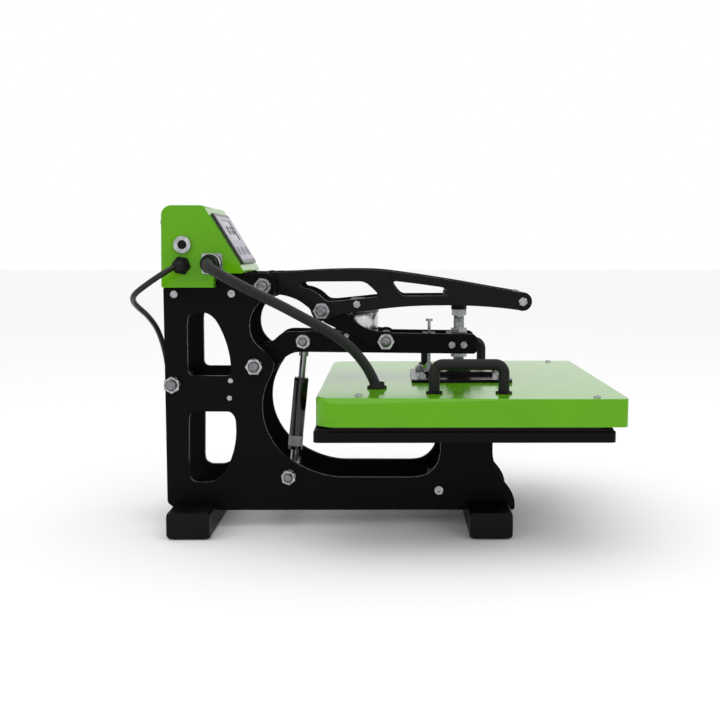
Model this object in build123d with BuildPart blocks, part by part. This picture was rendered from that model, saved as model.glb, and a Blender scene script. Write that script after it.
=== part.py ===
"""Auto-open clamshell heat press, 406 x 508 mm platen.

Row frame: +Z up, front (handle end) towards -Y, rear (control box) towards +Y,
left side of the machine towards -X. Millimetres. The feet stand on Z = 0 and the
origin is the centre of the machine's footprint.

The press is shown closed. Motions: the arm swings on the frame, the handle lever
swings on the frame, a pair of links joins lever and arm, a gas spring pushes the
arm up, the pressure knob raises and lowers the platen under the arm, and the
control panel has three keys and a breaker reset button.
"""
import os
from math import tan, radians, cos, sin, atan2, degrees, pi, sqrt
from build123d import *

os.makedirs("parts", exist_ok=True)

# ---------------------------------------------------------------- driving sizes
HALF_X = 258.5            # half the width of the heater cover
HALF_Y = 326.0            # half the overall depth
TABLE_X, TABLE_Y = 508.0, 406.0
PLATEN_Y0, PLATEN_Y1 = -HALF_Y, 93.0
PLATEN_CY = (PLATEN_Y0 + PLATEN_Y1) / 2          # -116.5
SPINDLE_Y = -113.8

FRAME_OUT, FRAME_T = 78.0, 8.0     # frame side plates, |X| 70 to 78
LEVER_OUT, LEVER_T = 60.0, 6.0     # handle lever plates, |X| 54 to 60
LINK_OUT, LINK_T = 50.0, 6.0       # toggle links, |X| 44 to 50
ARM_OUT, ARM_T = 43.0, 7.0         # arm plates, |X| 36 to 43

A = (179.1, 361.6)        # lever pivot on the frame (Y, Z)
B = (94.4, 324.4)         # lever to link
E = (-1.3, 278.1)         # link to arm
C = (193.1, 243.3)        # arm pivot on the frame
D = (123.8, 277.3)        # gas spring, top
G = (143.9, 77.6)         # gas spring, bottom
F = (314.4, 216.4)        # rear tie bolt
J = (-205.5, 338.0)       # centre of the grip at the end of the lever
SHAFT = 7.0               # radius of the pivot shafts
RUN = 0.05                # radial running clearance

Z_PLATE0 = 26.5           # underside of the frame side plates
Z_BEAM = (2.0, 39.0)      # foot beams
FOOT_X = 154.0
REAR_BEAM = (251.5, 313.5)
FRONT_BEAM = (-183.8, -122.3)
Z_TABLE = (158.5, 173.5)
Z_PAD = 176.5
Z_HEAT = (177.0, 189.0)
Z_COVER = (180.0, 218.0)
BOX_X = 100.0             # half the width of the control box

GLAND = (294.4, 392.3)    # centres on the left face of the control box (Y, Z)
BREAKER = (292.3, 422.5)
SOCKET = (250.0, 395.0)

CORD_D = 8.2              # power cord
LEAD_D = 15.0             # heater lead


# ---------------------------------------------------------------- small helpers
def trace(points, closed=True):
    """Draw straight runs and tangent arcs through the points into the open line.

    A 2-D point may carry its own corner radius as a third number; a 3-D point is
    a path point. Every other corner takes the largest radius its runs allow.
    Returns the radii.
    """
    flat = closed
    place = [Vector(*(p[:2] if flat else p)) for p in points]
    n, radii, cuts = len(points), [], []
    for i, p in enumerate(place):
        if not closed and i in (0, n - 1):
            cuts.append((p, None, p))
            continue
        a, b = place[i - 1], place[(i + 1) % n]
        u, v = (a - p), (b - p)
        turn = 180.0 - u.get_angle(v)
        if turn < 0.8:
            cuts.append((p, None, p))
            continue
        u1, v1 = u.normalized(), v.normalized()
        half = tan(radians(turn / 2))
        room = 0.45 * min(u.length, v.length)
        r = room / half
        if flat and len(points[i]) > 2:
            r = min(points[i][2], 1.1 * r)
        t = r * half
        bis = (u1 + v1).normalized()
        mid = p + bis * (r / cos(radians(turn / 2)) - r)
        radii.append(round(r, 1))
        cuts.append((p + u1 * t, mid, p + v1 * t))
    for i in range(n if closed else n - 1):
        if cuts[i][1] is not None:
            ThreePointArc(*cuts[i])
        start, end = cuts[i][2], cuts[(i + 1) % n][0]
        if (end - start).length > 1e-6:
            Line(start, end)
    return radii


def yz_plate(x, thick, edge, windows=(), holes=(), discs=()):
    """A plate in the Y-Z plane from x to x + thick."""
    with BuildPart() as plate:
        with BuildSketch(Plane.YZ.offset(x)):
            with BuildLine():
                trace(edge)
            make_face()
            for y, z, r in discs:
                with Locations((y, z)):
                    Circle(r)
            for window in windows:
                with BuildLine():
                    trace(window)
                make_face(mode=Mode.SUBTRACT)
            for y, z, r in holes:
                with Locations((y, z)):
                    Circle(r, mode=Mode.SUBTRACT)
        extrude(amount=thick)
    return plate


def x_rod(y, z, r, x0, x1, bore=0.0):
    """A rod or tube along X, added to the part being built."""
    with BuildSketch(Plane.YZ.offset(x0)) as ring:
        with Locations((y, z)):
            Circle(r)
            if bore:
                Circle(bore, mode=Mode.SUBTRACT)
    extrude(ring.sketch, amount=x1 - x0)


def x_hex(y, z, flats, x0, x1, bore, turn=0.0):
    """A hexagon along X, flats across, with a bore."""
    with BuildSketch(Plane.YZ.offset(x0)) as ring:
        with Locations((y, z)):
            RegularPolygon(flats / 2, 6, major_radius=False, rotation=turn)
            if bore:
                Circle(bore, mode=Mode.SUBTRACT)
    extrude(ring.sketch, amount=x1 - x0)


def z_rod(x, y, r, z0, z1, bore=0.0):
    with BuildSketch(Plane.XY.offset(z0)) as ring:
        with Locations((x, y)):
            Circle(r)
            if bore:
                Circle(bore, mode=Mode.SUBTRACT)
    extrude(ring.sketch, amount=z1 - z0)


def block(x0, x1, y0, y1, z0, z1, mode=Mode.ADD):
    with BuildSketch(Plane.XY.offset(z0)) as base:
        with Locations(((x0 + x1) / 2, (y0 + y1) / 2)):
            Rectangle(x1 - x0, y1 - y0)
    extrude(base.sketch, amount=z1 - z0, mode=mode)


def save(part, name):
    part.part.label = name
    export_step(part.part, f"parts/{name}.step")


# ---------------------------------------------------------------- frame side plates
side_edge = [
    (326.0, 360.4, 3), (247.6, 360.4, 2), (246.6, 381.0, 1.5), (172, 381.0), (160.5, 372), (158.8, 359),
    (163, 347.5), (174, 341.5), (184, 338), (191.5, 330.5), (197, 321), (200.3, 309), (200.3, 296),
    (197, 284), (190, 274.5), (179.6, 265.8), (170.1, 258.9), (165.4, 250.5), (164.6, 243.5),
    (167.8, 232.6), (175, 218.5), (180.6, 203), (182.8, 187), (182.4, 170.8), (178.9, 152.7),
    (170.2, 133.1), (157.5, 115.2), (140, 101.5), (122, 90.8), (100.7, 81.8), (76, 76.0), (-46, 75.6),
    (-59.4, 78.0), (-70.3, 85.5), (-79.2, 97), (-82.9, 112), (-83.3, 152.5, 1.5), (-160.9, 152.5, 1.5),
    (-160.5, 100.4), (-177.8, 69.9), (-184.7, 61.9), (-191.0, 51.6), (-194.3, 40.9), (-194.6, Z_PLATE0, 4),
    (FRONT_BEAM[0], Z_PLATE0, 0.5), (FRONT_BEAM[0], Z_BEAM[1], 0.5), (FRONT_BEAM[1], Z_BEAM[1], 0.5),
    (FRONT_BEAM[1], Z_PLATE0, 0.5), (REAR_BEAM[0], Z_PLATE0, 0.5), (REAR_BEAM[0], Z_BEAM[1], 0.5),
    (REAR_BEAM[1], Z_BEAM[1], 0.5), (REAR_BEAM[1], Z_PLATE0 + 1.5, 0.5), (326.0, 38.0, 9),
]
upper_window = [
    (292.6, 229.0, 9), (228.3, 228.8, 8), (228.2, 243), (229.8, 259.1), (233.6, 275.4), (237.8, 287.9),
    (244.3, 302.5), (250.9, 313.9), (262.1, 322.6), (280, 322.9), (290, 318.5), (292.2, 309),
]
lower_window = [
    (281.1, 175.6), (231.2, 175.4), (225.4, 170.9), (222.3, 163.4), (221.5, 145.3), (222.8, 130),
    (226.5, 113.5), (232.5, 97), (241, 82), (253, 71.5), (262, 68.4), (283.2, 68.4), (291.5, 73.5),
    (293.3, 82), (291.7, 165.1), (289.5, 172.5),
]
TIE_SCREWS = [(-80.4, 57.2)]
BRACKET_SCREWS = [(310.1, 349.9), (225.8, 350.7)]
CLIP_SCREWS = [(228.7, 222.0), (230.6, 196.1)]
frame_holes = [(*A, SHAFT), (*C, SHAFT), (*F, SHAFT), (*G, 6.0)]
frame_holes += [(y, z, 4.0) for y, z in TIE_SCREWS] + [(y, z, 3.0) for y, z in BRACKET_SCREWS]
frame_holes += [(y, z, 2.0) for y, z in CLIP_SCREWS]

for name, x in (("side_plate_left", -FRAME_OUT), ("side_plate_right", FRAME_OUT - FRAME_T)):
    save(yz_plate(x, FRAME_T, side_edge, (upper_window, lower_window), frame_holes), name)

# ---------------------------------------------------------------- foot beams, caps, pads
for name, (y0, y1) in (("rear_foot_beam", REAR_BEAM), ("front_foot_beam", FRONT_BEAM)):
    with BuildPart() as beam:
        with BuildSketch(Plane.YZ.offset(-FOOT_X + 4)):
            with Locations(((y0 + y1) / 2, sum(Z_BEAM) / 2)):
                Rectangle(y1 - y0, Z_BEAM[1] - Z_BEAM[0])
                Rectangle(y1 - y0 - 6, Z_BEAM[1] - Z_BEAM[0] - 6, mode=Mode.SUBTRACT)
        extrude(amount=2 * FOOT_X - 8)
        edges = beam.edges().filter_by(Axis.X).filter_by(
            lambda e: abs(e.center().Y - y0) < 0.1 or abs(e.center().Y - y1) < 0.1)
        fillet(edges, 3.0)
    save(beam, name)

with BuildPart() as foot_end_caps:
    for y0, y1 in (REAR_BEAM, FRONT_BEAM):
        for x in (-FOOT_X, FOOT_X - 4):
            with BuildSketch(Plane.YZ.offset(x)):
                with Locations(((y0 + y1) / 2, sum(Z_BEAM) / 2)):
                    RectangleRounded(y1 - y0, Z_BEAM[1] - Z_BEAM[0], 6.0)
            extrude(amount=4)
save(foot_end_caps, "foot_end_caps")

with BuildPart() as foot_pads:
    for y0, y1 in (REAR_BEAM, FRONT_BEAM):
        for s in (-1, 1):
            with BuildSketch(Plane.XY):
                with Locations((s * (FOOT_X - 28), (y0 + y1) / 2)):
                    RectangleRounded(42, y1 - y0 - 10, 6)
            extrude(amount=Z_BEAM[0])
save(foot_pads, "foot_pads")

# ---------------------------------------------------------------- pivots and ties of the frame
with BuildPart() as frame_pivot_shafts:
    for (y, z), r in ((A, SHAFT), (C, SHAFT), (F, SHAFT), (G, 6.0)):
        x_rod(y, z, r, -94.0, 94.0)
    for s in (-1, 1):                       # distance sleeves, outer
        for (y, z), ro, inner in ((A, 12, LEVER_OUT + 0.3), (C, 13, ARM_OUT + 0.3), (G, 10, 8.4)):
            x0, x1 = sorted((s * inner, s * (FRAME_OUT - FRAME_T)))
            x_rod(y, z, ro, x0, x1)
    x_rod(*A, 12, -(LEVER_OUT - LEVER_T - 0.3), LEVER_OUT - LEVER_T - 0.3)
    x_rod(*C, 13, -(ARM_OUT - ARM_T - 0.3), ARM_OUT - ARM_T - 0.3)
save(frame_pivot_shafts, "frame_pivot_shafts")

with BuildPart() as frame_pivot_nuts:
    for (y, z), r, flats, turn in ((A, SHAFT, 22, 12), (C, SHAFT, 22, 0), (F, SHAFT, 22, 30), (G, 6.0, 19, 20)):
        for s in (-1, 1):
            x0, x1 = sorted((s * FRAME_OUT, s * (FRAME_OUT + 2)))
            x_rod(y, z, flats / 2 + (0.9 if flats < 22 else 0.4), x0, x1, bore=r)
            x0, x1 = sorted((s * (FRAME_OUT + 2), s * (FRAME_OUT + 12.5)))
            x_hex(y, z, flats, x0, x1, r, turn)
save(frame_pivot_nuts, "frame_pivot_nuts")

with BuildPart() as frame_tie_bars:
    x_rod(*F, 10.5, -(FRAME_OUT - FRAME_T), FRAME_OUT - FRAME_T, bore=SHAFT)
    block(-70, 70, -95, -66, 44, 70)
    for s in (-1, 1):
        x0, x1 = sorted((s * 46.0, s * 70.0))
        with BuildSketch(Plane.YZ.offset(x0)):
            with Locations(TIE_SCREWS[0]):
                Circle(4.0)
        extrude(amount=x1 - x0, mode=Mode.SUBTRACT)
    for x0 in (-70, 66):                    # small plates that clip the leads to the side plates
        block(x0, x0 + 4, 216, 246, 188, 227)
        for y, z in CLIP_SCREWS:
            with BuildSketch(Plane.YZ.offset(x0)):
                with Locations((y, z)):
                    Circle(2.0)
            extrude(amount=4, mode=Mode.SUBTRACT)
save(frame_tie_bars, "frame_tie_bars")

with BuildPart() as frame_screws:
    for s in (-1, 1):
        for (y, z), r, head, deep in ([(p, 4.0, 6.4, 24) for p in TIE_SCREWS]
                                      + [(p, 3.0, 5.4, 12) for p in BRACKET_SCREWS]
                                      + [(p, 2.0, 3.7, 11) for p in CLIP_SCREWS]):
            x0, x1 = sorted((s * (FRAME_OUT - FRAME_T - deep + 8), s * FRAME_OUT))
            x_rod(y, z, r, x0, x1)
            x0, x1 = sorted((s * FRAME_OUT, s * (FRAME_OUT + (6 if head > 6 else 3.2))))
            x_rod(y, z, head, x0, x1)
    for s in (-1, 1):                       # sockets in the two larger heads
        x0, x1 = sorted((s * (FRAME_OUT + 2.5), s * (FRAME_OUT + 6)))
        with BuildSketch(Plane.YZ.offset(x0)):
            with Locations(TIE_SCREWS[0]):
                RegularPolygon(3.0, 6, major_radius=False)
        extrude(amount=x1 - x0, mode=Mode.SUBTRACT)
    for x in (-82, 82):                     # up into the table
        for y in (-165, -79):
            z_rod(x, y, 3.0, 152.5, Z_TABLE[0] + 9)
            z_rod(x, y, 5.5, 148.5, 152.5)
    for z, y0 in ((408, 323.7), (455, 323.1)):      # back of the control box
        for x in (-86, 86):
            with BuildSketch(Plane.XZ.offset(-y0)):
                with Locations((x, z)):
                    Circle(3.4)
            extrude(amount=y0 - HALF_Y)
    for dy in (-11, 11):                    # flange of the lead socket
        for dz in (-11, 11):
            x_rod(SOCKET[0] + dy, SOCKET[1] + dz, 1.6, -BOX_X - 3, -BOX_X)
            x_rod(SOCKET[0] + dy, SOCKET[1] + dz, 2.8, -BOX_X - 4.6, -BOX_X - 3)
save(frame_screws, "frame_screws")

# ---------------------------------------------------------------- table on its pedestal
with BuildPart() as table_mount_plate:
    block(-90, 90, -175, -69, 152.5, Z_TABLE[0])
    for x in (-82, 82):
        for y in (-165, -79):
            with BuildSketch(Plane.XY.offset(152.5)):
                with Locations((x, y)):
                    Circle(3.0)
            extrude(amount=6, mode=Mode.SUBTRACT)
    block(-70, 70, -152, -92, 118, 152.5)          # cross web that ties the pedestal sides
    block(-62, 62, -146, -98, 118, 146, mode=Mode.SUBTRACT)
save(table_mount_plate, "table_pedestal")

with BuildPart() as table:
    with BuildSketch(Plane.XY.offset(Z_TABLE[0])):
        with Locations((0, -107.5)):
            RectangleRounded(TABLE_X, TABLE_Y, 8)
    extrude(amount=Z_TABLE[1] - Z_TABLE[0])
    chamfer(table.faces().sort_by(Axis.Z)[-1].edges(), 1.2)
    for x in (-82, 82):
        for y in (-165, -79):
            with BuildSketch(Plane.XY.offset(Z_TABLE[0])):
                with Locations((x, y)):
                    Circle(3.0)
            extrude(amount=9, mode=Mode.SUBTRACT)
save(table, "lower_table")

with BuildPart() as silicone_pad:
    with BuildSketch(Plane.XY.offset(Z_TABLE[1])):
        with Locations((0, -107.5)):
            RectangleRounded(TABLE_X - 6, TABLE_Y - 6, 6)
    extrude(amount=Z_PAD - Z_TABLE[1])
save(silicone_pad, "silicone_pad")

# ---------------------------------------------------------------- control box
box_edge = [(324.2, 360.4, 2), (322.6, 479.0, 15), (262, 479.0, 8), (202.6, 381.0, 3), (247.6, 381.0, 1),
            (248.8, 360.4, 2)]
inner_edge = [(322.7, 362.4, 1), (321.1, 477.5, 13), (262.8, 477.5, 7), (205.6, 382.5, 2), (249.2, 382.5, 1),
              (250.4, 362.4, 1)]
SLANT = atan2(479.0 - 381.0, 262 - 202.6)          # slope of the front face of the box
s_dir = (cos(SLANT), sin(SLANT))                   # up along the slanted face (Y, Z)
n_dir = (-sin(SLANT), cos(SLANT))                  # out of the slanted face
PANEL_MID = (232.6, 430.5)                         # a point on the slanted face


def on_panel(along, out):
    return (PANEL_MID[0] + s_dir[0] * along + n_dir[0] * out,
            PANEL_MID[1] + s_dir[1] * along + n_dir[1] * out)


def panel_plane(out, x=0.0, along=0.0):
    y, z = on_panel(along, out)
    return Plane(origin=(x, y, z), x_dir=(1, 0, 0), z_dir=(0, n_dir[0], n_dir[1]))


with BuildPart() as box_shell:
    with BuildSketch(Plane.YZ.offset(-BOX_X)):
        with BuildLine():
            trace(box_edge)
        make_face()
    extrude(amount=2 * BOX_X)
    with BuildSketch(Plane.YZ.offset(-BOX_X + 1.5)):
        with BuildLine():
            trace(inner_edge)
        make_face()
    extrude(amount=2 * BOX_X - 3, mode=Mode.SUBTRACT)
    for (y, z), r in ((GLAND, 8.0), (BREAKER, 9.0), (SOCKET, 10.0)):
        with BuildSketch(Plane.YZ.offset(-BOX_X)):
            with Locations((y, z)):
                Circle(r)
        extrude(amount=1.5, mode=Mode.SUBTRACT)
    with BuildSketch(panel_plane(-1.0)):           # window behind the panel
        Rectangle(132, 62)
    extrude(amount=-4, both=True, mode=Mode.SUBTRACT)
    block(-85, 85, 256, 314, 359, 364, mode=Mode.SUBTRACT)
save(box_shell, "control_box_shell")

with BuildPart() as box_bracket:                   # joins the box to the two side plates
    block(-70, 70, 249, 322, 355.4, 360.4)
    for s in (-1, 1):
        x0, x1 = sorted((s * 66.0, s * 70.0))
        block(x0, x1, 215, 322, 341, 355.4)
        for y, z in BRACKET_SCREWS:
            with BuildSketch(Plane.YZ.offset(x0)):
                with Locations((y, z)):
                    Circle(3.0)
            extrude(amount=4, mode=Mode.SUBTRACT)
    for x in (-58, 58):
        for y in (256 - 3.6, 314 + 3.6):
            with BuildSketch(Plane.XY.offset(355.4)):
                with Locations((x, y)):
                    Circle(1.5)
            extrude(amount=5, mode=Mode.SUBTRACT)
save(box_bracket, "box_bracket")

with BuildPart() as circuit_board:
    block(-70, 70, 252, 312, 372, 373.6)
    for x in (-62, 62):
        for y in (258, 306):
            z_rod(x, y, 3.5, 364, 372)
    block(-66, 66, 254, 310, 362.4, 364)
    block(-40, -10, 262, 300, 373.6, 398)
    block(10, 34, 266, 288, 373.6, 391)
save(circuit_board, "circuit_board")

PANEL_W, PANEL_L, PANEL_T = 160.0, 86.0, 4.0
KEYS = [(-48, -22), (0, -22), (48, -22)]
with BuildPart() as display_panel:
    with BuildSketch(panel_plane(0)):
        RectangleRounded(PANEL_W, PANEL_L, 5)
    extrude(amount=PANEL_T)
    with BuildSketch(panel_plane(PANEL_T - 1.6)):
        with Locations((0, 14)):
            RectangleRounded(86, 34, 2)
    extrude(amount=1.6, mode=Mode.SUBTRACT)
    with BuildSketch(panel_plane(PANEL_T - 3.0)):
        with Locations(*KEYS):
            RectangleRounded(22, 13, 3)
    extrude(amount=3.0, mode=Mode.SUBTRACT)
    fillet(display_panel.faces().sort_by(lambda f: f.center().Z * cos(SLANT) - f.center().Y * sin(SLANT))[-1]
           .outer_wire().edges(), 1.2)
save(display_panel, "display_panel")

with BuildPart() as display_screen:
    with BuildSketch(panel_plane(PANEL_T - 1.6)):
        with Locations((0, 14)):
            RectangleRounded(85.6, 33.6, 1.8)
    extrude(amount=1.2)
save(display_screen, "display_screen")

for i, (x, along) in enumerate(KEYS):
    with BuildPart() as key:
        with BuildSketch(panel_plane(PANEL_T - 1.8)):
            with Locations((x, along)):
                RectangleRounded(21.2, 12.2, 2.7)
        extrude(amount=2.8)
        fillet(key.faces().sort_by(lambda f: f.center().Z * cos(SLANT) - f.center().Y * sin(SLANT))[-1].edges(), 0.7)
    save(key, f"key_{('down', 'set', 'up')[i]}")

with BuildPart() as breaker_bezel:                 # threaded ring of the push-to-reset breaker
    with BuildSketch(Plane.YZ.offset(-BOX_X - 6)):
        with Locations(BREAKER):
            Circle(12.3)
            Circle(6.6, mode=Mode.SUBTRACT)
    extrude(amount=6)
    with BuildSketch(Plane.YZ.offset(-BOX_X)):
        with Locations(BREAKER):
            Circle(9.0)
            Circle(6.6, mode=Mode.SUBTRACT)
    extrude(amount=16)
    with BuildSketch(Plane.YZ.offset(-BOX_X + 16)):
        with Locations(BREAKER):
            Circle(11.0)
    extrude(amount=14)
save(breaker_bezel, "breaker_body")

with BuildPart() as breaker_button:
    x_rod(*BREAKER, 6.2, -BOX_X - 8.5, -BOX_X + 8)
    fillet(breaker_button.faces().sort_by(Axis.X)[0].edges(), 1.5)
save(breaker_button, "breaker_reset_button")

with BuildPart() as cable_gland:
    x_hex(*GLAND, 24, -BOX_X - 5, -BOX_X, 4.1, 10)
    x_rod(*GLAND, 10.2, -BOX_X - 18, -BOX_X - 5, bore=4.1)
    x_rod(*GLAND, 8.0, -BOX_X, -BOX_X + 10, bore=4.1)
    x_hex(*GLAND, 22, -BOX_X + 1.5, -BOX_X + 6, 8.0, 10)
save(cable_gland, "cable_gland")

with BuildPart() as lead_socket:                   # square-flanged round socket of the heater lead
    with BuildSketch(Plane.YZ.offset(-BOX_X - 3)):
        with Locations(SOCKET):
            RectangleRounded(30, 30, 3)
            Circle(8.0, mode=Mode.SUBTRACT)
            with GridLocations(22, 22, 2, 2):
                Circle(1.6, mode=Mode.SUBTRACT)
    extrude(amount=3)
    x_rod(*SOCKET, 11.5, -BOX_X - 10, -BOX_X - 3, bore=8.0)
    x_rod(*SOCKET, 10.0, -BOX_X, -BOX_X + 12, bore=8.0)
save(lead_socket, "lead_socket")

with BuildPart() as lead_plug:                     # screw-ring plug of the heater lead, its boot leads forward
    x_rod(*SOCKET, 8.0, -BOX_X - 16, -BOX_X + 6)
    x_rod(*SOCKET, 13.5, -BOX_X - 24, -BOX_X - 10.5)
    with BuildSketch(Plane.YZ.offset(-BOX_X - 40)):
        with Locations(SOCKET):
            Circle(11.5)
    extrude(amount=16)
save(lead_plug, "lead_plug")

# ---------------------------------------------------------------- arm
arm_edge = [
    (-139.5, 288.0, 9), (143.4, 292.2), (149.4, 291.6), (156.9, 289.0), (165.9, 281.2), (176, 272), (193, 268.5),
    (208, 263), (217.5, 251), (217.5, 236), (208, 224), (193, 219), (177, 222), (166, 233), (157, 247.5),
    (149.4, 254.6), (137.3, 260.9), (124, 261.4), (-139.5, 258.3, 7),
]
for name, x in (("arm_plate_left", -ARM_OUT), ("arm_plate_right", ARM_OUT - ARM_T)):
    save(yz_plate(x, ARM_T, arm_edge, (), [(*C, SHAFT + RUN), (*D, 6.0), (*E, SHAFT),
                                          (-101, 272, 3.0), (-119, 272, 3.0), (24, 285.6, 2.5), (58, 286.0, 2.5)]), name)

inner_arm = ARM_OUT - ARM_T
with BuildPart() as arm_cross_plates:              # magnet seat and guide plate between the arm plates
    block(-inner_arm, inner_arm, 12, 76, 282, 289)
    block(-inner_arm, inner_arm, -78, -58, 281, 287)
    with BuildSketch(Plane.XY.offset(281)):
        with Locations((0, -68)):
            Circle(2.75)
    extrude(amount=6, mode=Mode.SUBTRACT)
    for s in (-1, 1):
        for y, z in ((24, 285.6), (58, 286.0)):
            x0, x1 = sorted((s * 26.0, s * inner_arm))
            with BuildSketch(Plane.YZ.offset(x0)):
                with Locations((y, z)):
                    Circle(2.5)
            extrude(amount=x1 - x0, mode=Mode.SUBTRACT)
    block(-inner_arm, inner_arm, -126.5, -94.4, 258.6, 287.6)      # nose block, carries the pressure spindle
    with BuildSketch(Plane.XY.offset(258.6)):
        with Locations((0, SPINDLE_Y)):
            Circle(8.0 + RUN)
    extrude(amount=29, mode=Mode.SUBTRACT)
    for s in (-1, 1):
        for y in (-101, -119):
            x0, x1 = sorted((s * 24.0, s * inner_arm))
            with BuildSketch(Plane.YZ.offset(x0)):
                with Locations((y, 272)):
                    Circle(3.0)
            extrude(amount=x1 - x0, mode=Mode.SUBTRACT)
save(arm_cross_plates, "arm_cross_members")

with BuildPart() as electromagnet:
    z_rod(0, 41, 30, 289, 319.4)
    with BuildSketch(Plane.XY.offset(318.4)):      # ring groove of the coil in the pole face
        with Locations((0, 41)):
            Circle(23)
            Circle(17, mode=Mode.SUBTRACT)
    extrude(amount=1.0, mode=Mode.SUBTRACT)
    chamfer(electromagnet.faces().sort_by(Axis.Z)[0].outer_wire().edges(), 1.0)
save(electromagnet, "electromagnet")

with BuildPart() as arm_pins:                      # link pivot shaft and gas spring top bolt
    x_rod(*E, SHAFT, -66, 66)
    x_rod(*D, 6.0, -51.5, 51.5)
    for s in (-1, 1):                              # distance sleeves
        x0, x1 = sorted((s * 7.4, s * inner_arm))
        x_rod(*D, 9.5, x0, x1)
    x_rod(*E, 11, -inner_arm, inner_arm)
save(arm_pins, "arm_pins")

with BuildPart() as arm_nuts:
    for s in (-1, 1):
        x0, x1 = sorted((s * (LINK_OUT + 0.4), s * (LINK_OUT + 2)))
        x_rod(*E, 11.4, x0, x1, bore=SHAFT)
        x0, x1 = sorted((s * (LINK_OUT + 2), s * (LINK_OUT + 12.5)))
        x_hex(*E, 22, x0, x1, SHAFT, 0)
        x0, x1 = sorted((s * ARM_OUT, s * (ARM_OUT + 1.5)))
        x_rod(*D, 10.4, x0, x1, bore=6.0)
        x0, x1 = sorted((s * (ARM_OUT + 1.5), s * (ARM_OUT + 8)))
        x_hex(*D, 19, x0, x1, 6.0, 18)
        for y, z, r, head, deep in ((-101, 272, 3.0, 5.0, 24), (-119, 272, 3.0, 5.0, 24), (24, 285.6, 2.5, 3.6, 26),
                                    (58, 286.0, 2.5, 3.6, 26)):
            x0, x1 = sorted((s * (deep + 1), s * ARM_OUT))
            x_rod(y, z, r, x0, x1)
            x0, x1 = sorted((s * ARM_OUT, s * (ARM_OUT + (0.7 if y > 0 else 3))))
            x_rod(y, z, head, x0, x1)
save(arm_nuts, "arm_nuts_and_screws")

# ---------------------------------------------------------------- handle lever
lever_edge = [
    (179.1, 382.6), (155, 381.9), (130.3, 383.0), (111, 384.2), (81.3, 385.5), (51.6, 386.1), (21.9, 385.9),
    (-0.4, 384.4), (-22.6, 381.4), (-52.4, 377.2), (-82.1, 372.6), (-111.9, 367.8), (-141.7, 362.6),
    (-171.5, 357.3), (-190.9, 353.9), (-204.0, 351.6, 1), (-206.5, 324.2, 1), (-194.1, 326.0), (-171.7, 328.8),
    (-141.8, 331.1), (-121, 332.0), (-97.1, 332.4), (-67.3, 332.2), (-44.9, 331.5), (-22.6, 330.1),
    (-0.2, 327.8), (14.7, 325.9), (34.1, 323.2), (62.4, 320.4), (84.0, 311.6), (94.4, 308.9), (104, 311.6),
    (109.6, 319.5), (111.6, 327), (119.3, 333.2), (125, 337.3), (130.6, 340.7), (140.1, 344.6), (147.7, 346.8),
    (156.2, 348.4), (166.7, 348.2, 2), (170.4, 342.5, 1), (179.1, 341.0, 2),
]
lever_window_rear = [
    (126.4, 363.1), (122, 367.0), (108.6, 367.9), (34.1, 368.1), (26.6, 365.0), (22.1, 360.9), (16.2, 355.7),
    (11, 350), (12.4, 345.0), (77.3, 338.3), (86.2, 339.0), (90.5, 341.5), (94, 345), (101.9, 351.8),
    (113.9, 357.2), (123.5, 358.9),
]
lever_window_front = [
    (-11.4, 365.9), (-15.1, 368.5), (-41.9, 365.4), (-82.2, 359.9), (-92.6, 357.4), (-94, 346.8, 3),
    (-27, 346.4), (-19.6, 353.0),
]
STRIKE = [(41.9, 334.2)]
for name, x in (("lever_plate_left", -LEVER_OUT), ("lever_plate_right", LEVER_OUT - LEVER_T)):
    save(yz_plate(x, LEVER_T, lever_edge, (lever_window_rear, lever_window_front),
                  [(*A, SHAFT + RUN), (*B, SHAFT), (*J, 4.0), (*STRIKE[0], 3.0)],
                  [(*A, 21.0), (*B, 15.5), (*J, 14.0)]), name)

inner_lever = LEVER_OUT - LEVER_T
with BuildPart() as lever_grip:                    # round bar between the lever plates
    x_rod(*J, 13.5, -inner_lever, inner_lever)
    for s in (-1, 1):
        x0, x1 = sorted((s * 30.0, s * inner_lever))
        with BuildSketch(Plane.YZ.offset(x0)):
            with Locations(J):
                Circle(4.0)
        extrude(amount=x1 - x0, mode=Mode.SUBTRACT)
save(lever_grip, "lever_grip")

with BuildPart() as strike_bar:                    # cross bar over the magnet
    block(-inner_lever, inner_lever, 31, 53, 326, 340)
    block(-26, 26, 15, 67, 326, 331)
    for s in (-1, 1):
        x0, x1 = sorted((s * 38.0, s * inner_lever))
        with BuildSketch(Plane.YZ.offset(x0)):
            with Locations(STRIKE[0]):
                Circle(3.0)
        extrude(amount=x1 - x0, mode=Mode.SUBTRACT)
save(strike_bar, "strike_bar")

with BuildPart() as armature_disc:                 # steel disc that the magnet holds
    z_rod(0, 41, 31, 319.6, 326)
    chamfer(armature_disc.faces().sort_by(Axis.Z)[0].edges(), 0.8)
save(armature_disc, "armature_disc")

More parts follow.
